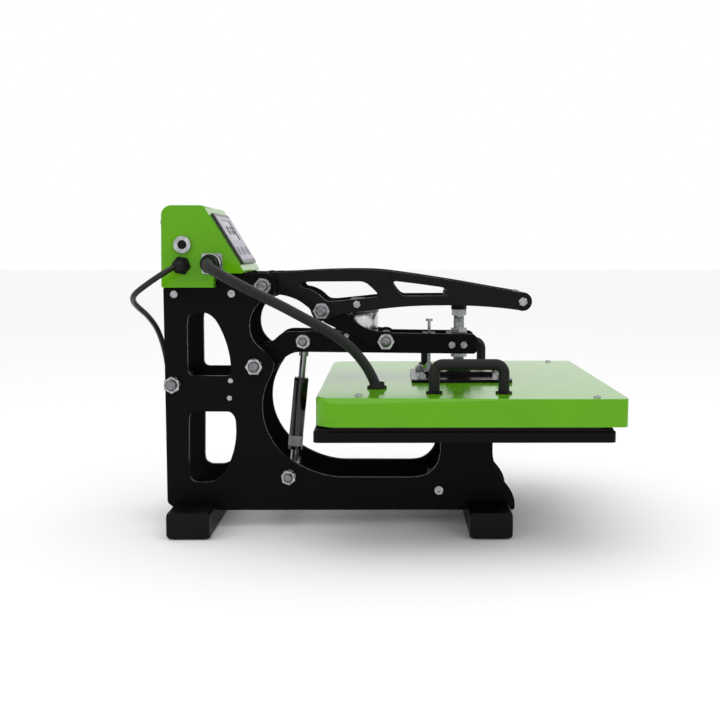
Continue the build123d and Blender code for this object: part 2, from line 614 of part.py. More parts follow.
with BuildPart() as lever_screws:
    for s in (-1, 1):
        for (y, z), r, head, deep, tall in ((J, 4.0, 6.5, 34, 5), (STRIKE[0], 3.0, 5.4, 40, 4)):
            x0, x1 = sorted((s * deep, s * LEVER_OUT))
            x_rod(y, z, r, x0, x1)
            x0, x1 = sorted((s * LEVER_OUT, s * (LEVER_OUT + tall)))
            x_hex(y, z, head * 1.8, x0, x1, 0, 15)
    for s in (-1, 1):
        x0, x1 = sorted((s * (LINK_OUT + 1.5), s * (LEVER_OUT + 12)))
        x_rod(*B, SHAFT, x0, x1)
        x0, x1 = sorted((s * LEVER_OUT, s * (LEVER_OUT + 1.5)))
        x_rod(*B, 11.4, x0, x1, bore=SHAFT)
        x0, x1 = sorted((s * (LEVER_OUT + 1.5), s * (LEVER_OUT + 9.4)))
        x_hex(*B, 22, x0, x1, SHAFT, 0)
        x0, x1 = sorted((s * (LINK_OUT + 1.5), s * (LEVER_OUT - LEVER_T)))
        x_rod(*B, 11.0, x0, x1, bore=SHAFT)
save(lever_screws, "lever_bolts")

# ---------------------------------------------------------------- links
be = (E[0] - B[0], E[1] - B[1])
be_len = sqrt(be[0] ** 2 + be[1] ** 2)
down = (-be[1] / be_len * -1, be[0] / be_len)      # unit normal towards the lower rear side
link_edge = [
    (B[0] + 6.5, B[1] - 13.5), (E[0] + 6.5, E[1] - 13.5), (E[0] - 6, E[1] + 13.6), (10.4, 292.6), (25.3, 296.0),
    (37.2, 302.2), (48.5, 309.6), (60, 322), (76, 334.5), (B[0] - 5, B[1] + 14.1),
]
for name, x in (("link_left", -LINK_OUT), ("link_right", LINK_OUT - LINK_T)):
    with BuildPart() as link:
        with BuildSketch(Plane.YZ.offset(x)):
            with BuildLine():
                trace(link_edge)
            make_face()
            with Locations(B, E):
                Circle(15.0)
            with Locations(E):
                Circle(SHAFT + RUN, mode=Mode.SUBTRACT)
        extrude(amount=LINK_T)
    save(link, name)

# ---------------------------------------------------------------- gas spring
gd = Vector(0, D[0] - G[0], D[1] - G[1])
u_gd = gd.normalized()
spring_plane = Plane(origin=(0, *G), x_dir=(1, 0, 0), z_dir=u_gd)
BASE, TOP = 28.2, 141.0                            # ends of the cylinder, from the lower pivot
with BuildPart() as gas_cylinder:
    with BuildSketch(spring_plane.offset(BASE)):
        Circle(11.0)
    extrude(amount=TOP - BASE)
    with BuildSketch(spring_plane.offset(BASE + 6)):
        Circle(8.6)
    extrude(amount=TOP - BASE - 9, mode=Mode.SUBTRACT)
    with BuildSketch(spring_plane.offset(TOP - 4)):
        Circle(6.9)
    extrude(amount=5, mode=Mode.SUBTRACT)
    fillet(gas_cylinder.faces().sort_by(lambda f: f.center().Z)[-1].outer_wire().edges(), 1.2)
save(gas_cylinder, "gas_spring_cylinder")

with BuildPart() as gas_base_eye:                  # threaded eye under the cylinder
    x_rod(*G, 10.5, -8, 8, bore=6.0 + RUN)
    with BuildSketch(spring_plane.offset(9.4)):
        Circle(6.2)
    extrude(amount=BASE - 9.4)
    with BuildSketch(Plane.YZ.offset(-8)):
        with Locations(G):
            Circle(6.0 + RUN)
    extrude(amount=16, mode=Mode.SUBTRACT)
save(gas_base_eye, "gas_spring_base_eye")

with BuildPart() as gas_rod:
    with BuildSketch(spring_plane.offset(60)):
        Circle(5.0)
    extrude(amount=gd.length - 60 - 14)
    x_rod(*D, 9.5, -7, 7)                          # top eye, screwed on the rod
    with BuildSketch(spring_plane.offset(gd.length - 26)):
        Circle(7.2)
    extrude(amount=20)
    with BuildSketch(Plane.YZ.offset(-8)):
        with Locations(D):
            Circle(6.0 + RUN)
    extrude(amount=16, mode=Mode.SUBTRACT)
save(gas_rod, "gas_spring_rod")

# ---------------------------------------------------------------- pressure spindle and knob
with BuildPart() as spindle:
    z_rod(0, SPINDLE_Y, 8.0, 234.5, 340.0)
    z_rod(0, SPINDLE_Y, 12.5, 250.5, 258.4)        # thrust collar under the arm
    with BuildSketch(Plane.XY.offset(288.0)):      # lock nuts
        with Locations((0, SPINDLE_Y)):
            RegularPolygon(12, 6, major_radius=False)
    extrude(amount=7)
    with BuildSketch(Plane.XY.offset(314.5)):
        with Locations((0, SPINDLE_Y)):
            RegularPolygon(11, 6, major_radius=False)
    extrude(amount=9)
save(spindle, "pressure_spindle")

with BuildPart() as knob:
    z_rod(0, SPINDLE_Y, 12.0, 323.5, 331.0, bore=8.0)
    with BuildSketch(Plane.XY.offset(331.0)):
        with Locations((0, SPINDLE_Y)):
            Circle(25.0)
            Circle(8.0, mode=Mode.SUBTRACT)
            with PolarLocations(26.5, 8):
                Circle(4.0, mode=Mode.SUBTRACT)
    extrude(amount=22)
    with BuildSketch(Plane.XY.offset(340.0)):
        with Locations((0, SPINDLE_Y)):
            Circle(8.0)
    extrude(amount=13)
save(knob, "pressure_knob")

# ---------------------------------------------------------------- platen
HANDLE_X = 198.0
POSTS = (PLATEN_CY - 48, PLATEN_CY + 48)
with BuildPart() as heater_cover:
    with BuildSketch(Plane.XY.offset(Z_COVER[0])):
        with Locations((0, PLATEN_CY)):
            Rectangle(2 * HALF_X, PLATEN_Y1 - PLATEN_Y0)
    extrude(amount=Z_COVER[1] - Z_COVER[0])
    corners = heater_cover.edges().filter_by(Axis.Z)
    fillet(corners.group_by(Axis.Y)[-1], 34.0)
    fillet(heater_cover.edges().filter_by(Axis.Z).group_by(Axis.Y)[0], 10.0)
    for s in (-1, 1):                              # sloped bands along the two long sides, tapering out forward
        split(bisect_by=Plane(origin=(s * HALF_X, -226, Z_COVER[1]),
                              x_dir=(0, 1, -7.5 / 319), z_dir=Vector(0, 1, -7.5 / 319).cross(
                                  Vector(-s * 12.0, 0, 7.5) + Vector(0, 0, 0)).normalized() * s),
              keep=Keep.BOTTOM)
    rear_top = heater_cover.edges().filter_by(lambda e: e.center().Z > Z_COVER[1] - 0.01
                                              and e.center().Y > PLATEN_Y1 - 2)
    fillet(rear_top, 4.0)
    inner = Z_COVER[1] - 12.0
    with BuildSketch(Plane.XY.offset(Z_COVER[0])):
        with Locations((0, PLATEN_CY)):
            RectangleRounded(2 * HALF_X - 5, PLATEN_Y1 - PLATEN_Y0 - 5, 30)
    extrude(amount=inner - Z_COVER[0], mode=Mode.SUBTRACT)
    with BuildSketch(Plane.XY.offset(inner)):
        with Locations((0, PLATEN_CY)):
            RectangleRounded(2 * HALF_X - 42, PLATEN_Y1 - PLATEN_Y0 - 14, 24)
    extrude(amount=10.0, mode=Mode.SUBTRACT)
    with BuildSketch(Plane.XY.offset(Z_COVER[1] - 3)):
        with Locations((-140, 11.2)):
            Circle(10.0)
    extrude(amount=4, mode=Mode.SUBTRACT)
save(heater_cover, "heater_cover")

with BuildPart() as heat_plate:
    with BuildSketch(Plane.XY.offset(Z_HEAT[0])):
        with Locations((0, -107.5 - 2)):
            RectangleRounded(TABLE_X - 2, TABLE_Y - 6, 30)
    extrude(amount=Z_HEAT[1] - Z_HEAT[0])
save(heat_plate, "heat_plate")

with BuildPart() as insulation:
    with BuildSketch(Plane.XY.offset(Z_HEAT[1])):
        with Locations((0, PLATEN_CY)):
            RectangleRounded(2 * HALF_X - 60, PLATEN_Y1 - PLATEN_Y0 - 60, 10)
    extrude(amount=16)
    with BuildSketch(Plane.XY.offset(Z_HEAT[1] + 10)):
        with Locations((-140, 11.2)):
            Circle(22)
    extrude(amount=8, mode=Mode.SUBTRACT)
save(insulation, "insulation_blanket")

MP = (-114.6, 75.0, 78.0)                          # mounting plate centre Y, half Y, half X
with BuildPart() as mounting_plate:
    with BuildSketch(Plane.XY.offset(Z_COVER[1])):
        with Locations((0, MP[0])):
            RectangleRounded(2 * MP[2], 2 * MP[1], 6)
            with Locations((-60, 60), (60, 60), (-60, -60), (60, -60)):
                Circle(4.0, mode=Mode.SUBTRACT)
    extrude(amount=5)
save(mounting_plate, "mounting_plate")

with BuildPart() as platen_fasteners:
    for x in (-60, 60):
        for y in (MP[0] - 60, MP[0] + 60):
            z_rod(x, y, 4.0, Z_COVER[1], Z_COVER[1] + 13)
            with BuildSketch(Plane.XY.offset(Z_COVER[1] + 5)):
                with Locations((x, y)):
                    RegularPolygon(6.5, 6, major_radius=False)
                    Circle(4.0, mode=Mode.SUBTRACT)
            extrude(amount=6)
    for x, y in ((-240, PLATEN_Y0 + 40), (240, PLATEN_Y0 + 40), (-222, PLATEN_Y1 - 58), (222, PLATEN_Y1 - 58)):
        z_rod(x, y, 4.2, Z_COVER[1], Z_COVER[1] + 1.8)
save(platen_fasteners, "platen_fasteners")

with BuildPart() as platen_hub:                    # cross bracket that the spindle pushes on
    block(-24, 24, -164.5, -60, 223.0, 229.0)
    z_rod(0, SPINDLE_Y, 19, 229.0, 243.0)
    with BuildSketch(Plane.XY.offset(229.0)):
        with Locations((0, SPINDLE_Y)):
            Circle(8.0 + RUN)
    extrude(amount=14, mode=Mode.SUBTRACT)
save(platen_hub, "platen_hub")

with BuildPart() as guide_pin:                     # keeps the platen square under the arm
    z_rod(0, -68, 2.4, 229.0, 309.0)
    z_rod(0, -68, 5.5, 305.5, 309.0)
    z_rod(0, -68, 4.6, 229.0, 240.0)
save(guide_pin, "guide_pin")

for name, s in (("platen_handle_left", -1), ("platen_handle_right", 1)):
    with BuildPart() as handle:
        with BuildLine(Plane.YZ.offset(s * HANDLE_X)) as path:
            Line((POSTS[0], Z_COVER[1]), (POSTS[0], 246.0))
            ThreePointArc((POSTS[0], 246.0), (POSTS[0] + 12 * (1 - cos(pi / 4)), 246.0 + 12 * sin(pi / 4)),
                          (POSTS[0] + 12, 258.0))
            Line((POSTS[0] + 12, 258.0), (POSTS[1] - 12, 258.0))
            ThreePointArc((POSTS[1] - 12, 258.0), (POSTS[1] - 12 * (1 - cos(pi / 4)), 246.0 + 12 * sin(pi / 4)),
                          (POSTS[1], 246.0))
            Line((POSTS[1], 246.0), (POSTS[1], Z_COVER[1]))
        with BuildSketch(Plane.XY.offset(Z_COVER[1])):
            with Locations((s * HANDLE_X, POSTS[0])):
                Circle(7.6)
        sweep(path=path.wires()[0])
    save(handle, name)

GROMMET = (-140.0, 11.2)
with BuildPart() as lead_grommet:
    z_rod(*GROMMET, 10.0, Z_COVER[1] - 2, Z_COVER[1], bore=8.3)
    z_rod(*GROMMET, 14.0, Z_COVER[1], Z_COVER[1] + 3.5, bore=8.3)
    z_rod(*GROMMET, 10.8, Z_COVER[1] + 3.5, Z_COVER[1] + 9, bore=8.3)
save(lead_grommet, "lead_grommet")

# ---------------------------------------------------------------- heater lead, box to platen
LEAD = [
    (-140.0, 250.0, 395.0), (-162.9, 250.0, 395.0), (-185.1, 238.6, 388.9), (-198.0, 219.1, 378.5),
    (-198.0, 196.4, 366.4), (-190.0, 170.0, 352.0), (-180.0, 142.0, 337.5), (-170.0, 112.0, 320.0),
    (-161.0, 83.0, 304.0), (-153.0, 56.0, 285.5), (-147.0, 34.0, 262.0), (-142.5, 19.0, 238.0),
    (-140.2, 11.6, 219.5),
]
with BuildPart() as heater_lead:
    with BuildLine() as lead_path:
        lead_radii = trace(LEAD, closed=False)
    wire = lead_path.wires()[0]
    with BuildSketch(Plane(origin=wire @ 0, z_dir=wire % 0)):
        Circle(LEAD_D / 2)
    sweep(path=wire)
save(heater_lead, "heater_lead")
print("heater lead radii", lead_radii, "length", round(wire.length, 1), "volume share",
      round(heater_lead.part.volume / (pi * (LEAD_D / 2) ** 2 * wire.length), 4))

# ---------------------------------------------------------------- power cord, its coil and plug
CORD = [
    (-118.0, 294.4, 392.3), (-140.7, 294.4, 392.3), (-159.3, 303.2, 386.2), (-170.0, 318.4, 375.5),
    (-170.0, 335.9, 363.2), (-159.3, 351.2, 352.5), (-138.0, 358.0, 343.0), (-104.0, 358.0, 332.0),
    (-62.0, 353.0, 318.0), (-22.0, 346.0, 294.0), (10.0, 342.0, 256.0), (32.0, 341.0, 210.0),
    (50.0, 341.0, 160.0), (66.0, 342.0, 110.0), (80.0, 344.0, 64.0), (96.0, 347.0, 28.0), (118.0, 348.0, 9.0),
    (146.0, 342.0, 4.15), (172.0, 327.0, 4.2), (190.0, 300.0, 4.15), (196.0, 265.0, 4.2), (194.0, 228.0, 4.15),
    (193.0, 192.0, 4.2), (194.0, 172.0, 4.15),
]
COIL = (150.0, 150.0, 45.0)                        # centre X, Y and radius of the middle of the turns
with BuildPart() as power_cord:
    with BuildLine() as cord_path:
        cord_radii = trace(CORD, closed=False)
    wire = cord_path.wires()[0]
    with BuildSketch(Plane(origin=wire @ 0, z_dir=wire % 0)):
        Circle(CORD_D / 2)
    sweep(path=wire)
save(power_cord, "power_cord")
cord_length = wire.length
print("power cord radii", cord_radii, "length", round(wire.length, 1), "volume share",
      round(power_cord.part.volume / (pi * (CORD_D / 2) ** 2 * wire.length), 4))

with BuildPart() as power_cord_coil:
    with BuildSketch(Plane.XY):
        with Locations(COIL[:2]):
            Circle(COIL[2] + 8.4)
            Circle(COIL[2] - 8.4, mode=Mode.SUBTRACT)
    extrude(amount=17.0)
save(power_cord_coil, "power_cord_coil")

with BuildPart() as power_plug:                    # moulded plug, lies beside the turns, pins point forward
    block(186, 212, 70, 108, 0.0, 24.0)
    fillet(power_plug.edges().filter_by(Axis.Y), 4)
    for dx in (-6.3, 6.3):
        block(199 + dx - 0.8, 199 + dx + 0.8, 52, 70, 11, 17.3)
    with BuildSketch(Plane.XZ.offset(-70)):
        with Locations((199, 6.0)):
            Circle(2.4)
    extrude(amount=18)
save(power_plug, "power_plug")
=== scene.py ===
"""Looks of the auto-open heat press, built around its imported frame."""
import bpy
import bmesh
import math
import random
from mathutils import Vector, Matrix


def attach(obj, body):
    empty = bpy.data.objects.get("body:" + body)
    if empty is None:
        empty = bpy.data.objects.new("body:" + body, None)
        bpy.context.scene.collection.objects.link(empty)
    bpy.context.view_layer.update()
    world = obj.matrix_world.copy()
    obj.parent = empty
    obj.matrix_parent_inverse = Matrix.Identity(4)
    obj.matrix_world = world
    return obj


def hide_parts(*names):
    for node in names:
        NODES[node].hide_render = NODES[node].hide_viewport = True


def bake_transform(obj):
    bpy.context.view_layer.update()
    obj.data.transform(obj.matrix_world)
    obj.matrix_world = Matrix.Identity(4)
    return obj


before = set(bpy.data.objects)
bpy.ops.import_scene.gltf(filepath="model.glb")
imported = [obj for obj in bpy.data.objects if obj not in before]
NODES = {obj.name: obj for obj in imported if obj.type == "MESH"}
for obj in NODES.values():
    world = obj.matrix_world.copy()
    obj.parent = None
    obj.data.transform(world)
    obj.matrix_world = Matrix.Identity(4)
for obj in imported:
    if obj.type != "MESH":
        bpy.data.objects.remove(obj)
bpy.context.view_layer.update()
scene = bpy.context.scene
random.seed(7)

# ------------------------------------------------------------------ camera
yaw, pitch = 0.0053, 0.0985
fwd = Vector((math.cos(yaw) * math.cos(pitch), -math.sin(yaw) * math.cos(pitch), -math.sin(pitch)))
right = Vector((-math.sin(yaw), -math.cos(yaw), 0.0))
up = right.cross(fwd)
cam_data = bpy.data.cameras.new("camera")
cam_data.sensor_width = 36.0
cam_data.lens = 56.605
cam_data.shift_x = -0.0502
cam_data.clip_start, cam_data.clip_end = 0.05, 50.0
cam = bpy.data.objects.new("camera", cam_data)
scene.collection.objects.link(cam)
m = Matrix((right, up, -fwd)).transposed().to_4x4()
m.translation = Vector((-1.7469, -0.0077, 0.4174))
cam.matrix_world = m
scene.camera = cam

# ------------------------------------------------------------------ light and floor
world = bpy.data.worlds.new("studio")
scene.world = world
world.use_nodes = True
world.node_tree.nodes["Background"].inputs[0].default_value = (1.0, 1.0, 1.0, 1.0)
world.node_tree.nodes["Background"].inputs[1].default_value = 1.0
scene.view_settings.view_transform = "Standard"


def area_light(name, place, aim, size, power, size_y=None):
    data = bpy.data.lights.new(name, "AREA")
    data.energy = power
    data.shape = "RECTANGLE"
    data.size = size
    data.size_y = size_y or size
    ob = bpy.data.objects.new(name, data)
    scene.collection.objects.link(ob)
    ob.location = place
    ob.rotation_euler = (Vector(aim) - Vector(place)).to_track_quat("-Z", "Y").to_euler()
    return ob


area_light("top_soft", (-0.3, 0.0, 2.4), (0, 0, 0.2), 2.2, 9.0)
area_light("side_key", (-2.2, -1.3, 1.5), (0, 0, 0.25), 1.0, 5.0)
area_light("rear_fill", (-1.6, 1.8, 1.1), (0, 0.1, 0.25), 0.9, 2.5)

fm = bpy.data.materials.new("floor_pale")
fm.use_nodes = True
fb = fm.node_tree.nodes["Principled BSDF"]
fb.inputs["Base Color"].default_value = (0.93, 0.93, 0.93, 1)
fb.inputs["Roughness"].default_value = 0.9
fn = fm.node_tree.nodes.new("ShaderNodeTexNoise")
fn.inputs["Scale"].default_value = 40.0
fbump = fm.node_tree.nodes.new("ShaderNodeBump")
fbump.inputs["Strength"].default_value = 0.01
fm.node_tree.links.new(fn.outputs["Fac"], fbump.inputs["Height"])
fm.node_tree.links.new(fbump.outputs["Normal"], fb.inputs["Normal"])
fme = bpy.data.meshes.new("floor")
fme.from_pydata([(-20, -20, 0), (20, -20, 0), (20, 20, 0), (-20, 20, 0)], [], [(0, 1, 2, 3)])
fme.materials.append(fm)
floor = bpy.data.objects.new("floor", fme)
scene.collection.objects.link(floor)


# ------------------------------------------------------------------ materials
def material(name, color, rough, metal=0.0, var=0.12, scale=60.0, rough_var=0.12, bump=0.05, bump_scale=900.0,
             coat=0.0, coat_rough=0.05, stretch=None, wear=None, fine=None, spec=0.5, sheen=0.0, distance=0.0002):
    """Colour, roughness and height all vary with noise in object space."""
    mat = bpy.data.materials.new(name)
    mat.use_nodes = True
    nt = mat.node_tree
    b = nt.nodes["Principled BSDF"]
    b.inputs["Metallic"].default_value = metal
    b.inputs["Coat Weight"].default_value = coat
    b.inputs["Coat Roughness"].default_value = coat_rough
    b.inputs["Specular IOR Level"].default_value = spec
    b.inputs["Sheen Weight"].default_value = sheen
    co = nt.nodes.new("ShaderNodeTexCoord")
    mp = nt.nodes.new("ShaderNodeMapping")
    if stretch:
        mp.inputs["Scale"].default_value = stretch
    nt.links.new(co.outputs["Object"], mp.inputs["Vector"])
    n1 = nt.nodes.new("ShaderNodeTexNoise")
    n1.inputs["Scale"].default_value = scale
    n1.inputs["Detail"].default_value = 5.0
    nt.links.new(mp.outputs["Vector"], n1.inputs["Vector"])
    ramp = nt.nodes.new("ShaderNodeValToRGB")
    ramp.color_ramp.elements[0].position = 0.3
    ramp.color_ramp.elements[1].position = 0.7
    ramp.color_ramp.elements[0].color = (*[c * (1 - var) for c in color], 1)
    ramp.color_ramp.elements[1].color = (*[min(1, c * (1 + var)) for c in color], 1)
    nt.links.new(n1.outputs["Fac"], ramp.inputs["Fac"])
    out = ramp.outputs["Color"]
    if wear:                                     # lighter rubbed spots
        n3 = nt.nodes.new("ShaderNodeTexNoise")
        n3.inputs["Scale"].default_value = wear[1]
        n3.inputs["Detail"].default_value = 8.0
        nt.links.new(mp.outputs["Vector"], n3.inputs["Vector"])
        wr = nt.nodes.new("ShaderNodeValToRGB")
        wr.color_ramp.elements[0].position = wear[2]
        wr.color_ramp.elements[1].position = min(1.0, wear[2] + 0.06)
        nt.links.new(n3.outputs["Fac"], wr.inputs["Fac"])
        mix = nt.nodes.new("ShaderNodeMixRGB")
        mix.inputs["Color2"].default_value = (*wear[0], 1)
        nt.links.new(wr.outputs["Color"], mix.inputs["Fac"])
        nt.links.new(out, mix.inputs["Color1"])
        out = mix.outputs["Color"]
    nt.links.new(out, b.inputs["Base Color"])
    n2 = nt.nodes.new("ShaderNodeTexNoise")
    n2.inputs["Scale"].default_value = scale * 2.3
    n2.inputs["Detail"].default_value = 4.0
    nt.links.new(mp.outputs["Vector"], n2.inputs["Vector"])
    mr = nt.nodes.new("ShaderNodeMapRange")
    mr.inputs["To Min"].default_value = max(0.02, rough - rough_var)
    mr.inputs["To Max"].default_value = min(1.0, rough + rough_var)
    nt.links.new(n2.outputs["Fac"], mr.inputs["Value"])
    nt.links.new(mr.outputs["Result"], b.inputs["Roughness"])
    if fine == "weave":
        tex = nt.nodes.new("ShaderNodeTexWave")
        tex.inputs["Scale"].default_value = bump_scale
        tex.inputs["Distortion"].default_value = 1.0
    elif fine == "rings":
        tex = nt.nodes.new("ShaderNodeTexWave")
        tex.wave_type = "BANDS"
        tex.bands_direction = "Z"
        tex.inputs["Scale"].default_value = bump_scale
    else:
        tex = nt.nodes.new("ShaderNodeTexNoise")
        tex.inputs["Scale"].default_value = bump_scale
        tex.inputs["Detail"].default_value = 3.0
    nt.links.new(mp.outputs["Vector"], tex.inputs["Vector"])
    bp = nt.nodes.new("ShaderNodeBump")
    bp.inputs["Strength"].default_value = bump
    bp.inputs["Distance"].default_value = distance
    nt.links.new(tex.outputs["Fac"], bp.inputs["Height"])
    nt.links.new(bp.outputs["Normal"], b.inputs["Normal"])
    return mat


BLACK = material("powder_coat", (0.0022, 0.0022, 0.0025), 0.40, bump=0.25, bump_scale=1100, spec=0.06,
                 wear=((0.010, 0.010, 0.011), 90, 0.72))
GLOSS_BLACK = material("gloss_black_plate", (0.0024, 0.0024, 0.0027), 0.22, bump=0.05, bump_scale=700, spec=0.13)
GREEN = material("green_gloss_paint", (0.098, 0.335, 0.0015), 0.14, var=0.03, scale=18, rough_var=0.03, bump=0.03,
                 bump_scale=420, coat=0.06, coat_rough=0.03, spec=0.2)
ZINC = material("zinc_plate", (0.36, 0.365, 0.38), 0.26, metal=1.0, var=0.4, scale=260, bump=0.15, bump_scale=1400)
STEEL = material("turned_steel", (0.30, 0.305, 0.32), 0.24, metal=1.0, var=0.35, scale=200, bump=0.2, bump_scale=500,
                 stretch=(1, 1, 6))
MAGNET = material("magnet_steel", (0.58, 0.575, 0.57), 0.2, metal=1.0, scale=90, bump=0.15, bump_scale=300,
                  stretch=(1, 1, 9))
KNURL = material("armature_steel", (0.16, 0.155, 0.15), 0.42, metal=0.9, scale=300, bump=0.5, bump_scale=1500)
PLASTIC = material("black_plastic", (0.003, 0.003, 0.0034), 0.40, bump=0.2, bump_scale=1600, spec=0.12)
RUBBER = material("black_rubber", (0.006, 0.006, 0.006), 0.58, bump=0.3, bump_scale=900, spec=0.25, wear=((0.02, 0.02, 0.02), 70, 0.74))
CORD = material("cord_jacket", (0.005, 0.005, 0.005), 0.38, bump=0.12, bump_scale=700, spec=0.3)
CONDUIT = material("lead_conduit", (0.005, 0.005, 0.0055), 0.36, bump=0.15, bump_scale=900, spec=0.3)
SILICONE = material("silicone_pad", (0.006, 0.0045, 0.0045), 0.6, bump=0.2, bump_scale=600, spec=0.12)
GAS = material("gas_lacquer", (0.004, 0.004, 0.004), 0.16, coat=0.25, bump=0.03, spec=0.4)
LABEL = material("blank_label", (0.30, 0.30, 0.31), 0.5, bump=0.1, bump_scale=500)
PANEL = material("panel_face", (0.20, 0.19, 0.27), 0.24, coat=0.1, coat_rough=0.08, spec=0.25, bump=0.04, bump_scale=400)
# dark bezel colour, also used as painted shade in the screw recesses
BEZEL_AND_RECESS_SHADE = material("panel_bezel", (0.012, 0.012, 0.014), 0.3, bump=0.1)
SCREEN = material("screen_glass", (0.10, 0.098, 0.135), 0.12, coat=0.2, coat_rough=0.03, bump=0.02)
KEY = material("key_cap", (0.24, 0.24, 0.31), 0.4, bump=0.15, bump_scale=800, spec=0.25)
BOARD = material("board_mask", (0.03, 0.18, 0.06), 0.35, bump=0.3, bump_scale=300, wear=((0.6, 0.45, 0.2), 200, 0.68))
HOTPLATE = material("coated_plate", (0.004, 0.004, 0.0045), 0.34, var=0.3, scale=120, bump=0.2, bump_scale=500,
                    stretch=(1, 12, 1), spec=0.15)
BLANKET = material("fibre_blanket", (0.78, 0.75, 0.66), 0.92, bump=0.9, bump_scale=260, fine="weave", distance=0.001)
CHROME = material("chrome", (0.42, 0.43, 0.45), 0.10, metal=1.0, var=0.3, scale=120, bump=0.02)
TABLE = material("table_coat", (0.0026, 0.0026, 0.003), 0.42, bump=0.4, bump_scale=800, spec=0.07)

LOOK = {
    "green": (GREEN, ["control_box_shell"]),
    "zinc": (ZINC, ["frame_pivot_nuts", "frame_screws", "arm_nuts_and_screws", "lever_bolts", "lead_socket"]),
    "steel": (STEEL, ["frame_pivot_shafts", "arm_pins", "gas_spring_base_eye", "gas_spring_rod", "guide_pin",
                      "pressure_spindle"]),
    "magnet": (MAGNET, ["electromagnet"]),
    "knurl": (KNURL, ["armature_disc"]),
    "plastic": (PLASTIC, ["lead_plug", "cable_gland", "foot_end_caps", "lever_grip", "pressure_knob"]),
    "rubber": (RUBBER, ["foot_pads", "lead_grommet", "platen_handle_left", "platen_handle_right"]),
    "silicone": (SILICONE, ["silicone_pad"]),
    "gas": (GAS, ["gas_spring_cylinder"]),
    "screen": (SCREEN, ["display_screen"]),
    "bezel": (BEZEL_AND_RECESS_SHADE, ["display_panel"]),
    "key": (KEY, ["key_down", "key_set", "key_up"]),
    "breaker": (CHROME, ["breaker_body"]),
    "button": (PLASTIC, ["breaker_reset_button", "power_plug"]),
    "board": (BOARD, ["circuit_board"]),
    "hotplate": (HOTPLATE, ["heat_plate"]),
    "blanket": (BLANKET, ["insulation_blanket"]),
    "platen_fix": (ZINC, ["platen_fasteners"]),
    "gloss": (GLOSS_BLACK, ["mounting_plate", "lever_plate_left", "lever_plate_right", "platen_hub"]),
    "table": (TABLE, ["lower_table"]),
    "cover": (GREEN, ["heater_cover"]),
}
done = {}
for mat, names in LOOK.values():
    for n in names:
        done[n] = mat
BEVEL = {"side_plate_left": 0.0006, "side_plate_right": 0.0006, "lever_plate_left": 0.0008, "lever_plate_right": 0.0008,
         "arm_plate_left": 0.0008, "arm_plate_right": 0.0008, "link_left": 0.0008, "link_right": 0.0008,
         "heater_cover": 0.0022, "control_box_shell": 0.0012, "frame_pivot_nuts": 0.0007, "arm_nuts_and_screws": 0.0006,
         "lever_bolts": 0.0006, "mounting_plate": 0.0008, "pressure_knob": 0.0016, "lower_table": 0.0006,
         "foot_end_caps": 0.0012, "lead_plug": 0.001, "cable_gland": 0.0008, "electromagnet": 0.0006,
         "platen_hub": 0.0008, "lead_socket": 0.0004, "power_plug": 0.001,
         "rear_foot_beam": 0.0003, "front_foot_beam": 0.0003, "frame_tie_bars": 0.0006, "box_bracket": 0.0006,
         "table_pedestal": 0.0006, "arm_cross_members": 0.0006, "strike_bar": 0.0006, "breaker_body": 0.0004,
         "lever_grip": 0.001, "silicone_pad": 0.0004, "heat_plate": 0.0006, "lead_grommet": 0.0006}
for name, ob in NODES.items():
    mat = done.get(name, BLACK)
    me = ob.data
    if len(me.materials) == 0:
        me.materials.append(mat)
    for i in range(len(me.materials)):
        me.materials[i] = mat
    if name in BEVEL:
        w = ob.modifiers.new("weld", "WELD")
        w.merge_threshold = 0.00002
        bv = ob.modifiers.new("edges", "BEVEL")
        bv.width = BEVEL[name]
        bv.segments = 2
        bv.limit_method = "ANGLE"
        bv.angle_limit = math.radians(38)
        bv.harden_normals = True
        bv.use_clamp_overlap = True


# ------------------------------------------------------------------ helpers for new pieces
def new_mesh(name, verts, faces, mat, body, smooth=True):
    me = bpy.data.meshes.new(name)
    me.from_pydata([tuple(v) for v in verts], [], faces)
    me.materials.append(mat)
    bm = bmesh.new()
    bm.from_mesh(me)
    bmesh.ops.recalc_face_normals(bm, faces=bm.faces)
    bm.to_mesh(me)
    bm.free()
    if smooth:
        me.shade_smooth()
        me.set_sharp_from_angle(angle=math.radians(35))
    ob = bpy.data.objects.new(name, me)
    scene.collection.objects.link(ob)
    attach(ob, body)
    return ob


def lathe(profile, origin, axis, n=48):
    """Closed surface of revolution: profile is [(radius, distance along axis)]."""
    axis = Vector(axis).normalized()
    u = axis.orthogonal().normalized()
    v = axis.cross(u)
    verts, faces = [], []
    for r, h in profile:
        for k in range(n):
            a = 2 * math.pi * k / n
            verts.append(Vector(origin) + axis * h + (u * math.cos(a) + v * math.sin(a)) * r)
    rows = len(profile)
    for i in range(rows - 1):
        for k in range(n):
            faces.append((i * n + k, i * n + (k + 1) % n, (i + 1) * n + (k + 1) % n, (i + 1) * n + k))
    faces.append(tuple(range(n)))
    faces.append(tuple((rows - 1) * n + k for k in range(n)))
    return verts, faces


def merged(*parts):
    verts, faces = [], []
    for v, f in parts:
        base = len(verts)
        verts += list(v)
        faces += [tuple(i + base for i in face) for face in f]
    return verts, faces


def box_mesh(centre, half, ax=(Vector((1, 0, 0)), Vector((0, 1, 0)), Vector((0, 0, 1))), cut=0.0):
    """A box with a small bevel on its top (third axis) rim."""
    c = Vector(centre)
    x, y, z = ax
    hx, hy, hz = half
    verts = []
    for sz, k in ((-1, 0), (1 - 2 * cut / max(hz, 1e-9) * 0.5, 0), (1, cut)):
        for sx, sy in ((-1, -1), (1, -1), (1, 1), (-1, 1)):
            verts.append(c + x * sx * (hx - k) + y * sy * (hy - k) + z * sz * hz)
    f = [(0, 1, 2, 3), (8, 9, 10, 11)]
    for r in (0, 4):
        for k in range(4):
            f.append((r + k, r + (k + 1) % 4, r + 4 + (k + 1) % 4, r + 4 + k))
    return verts, f


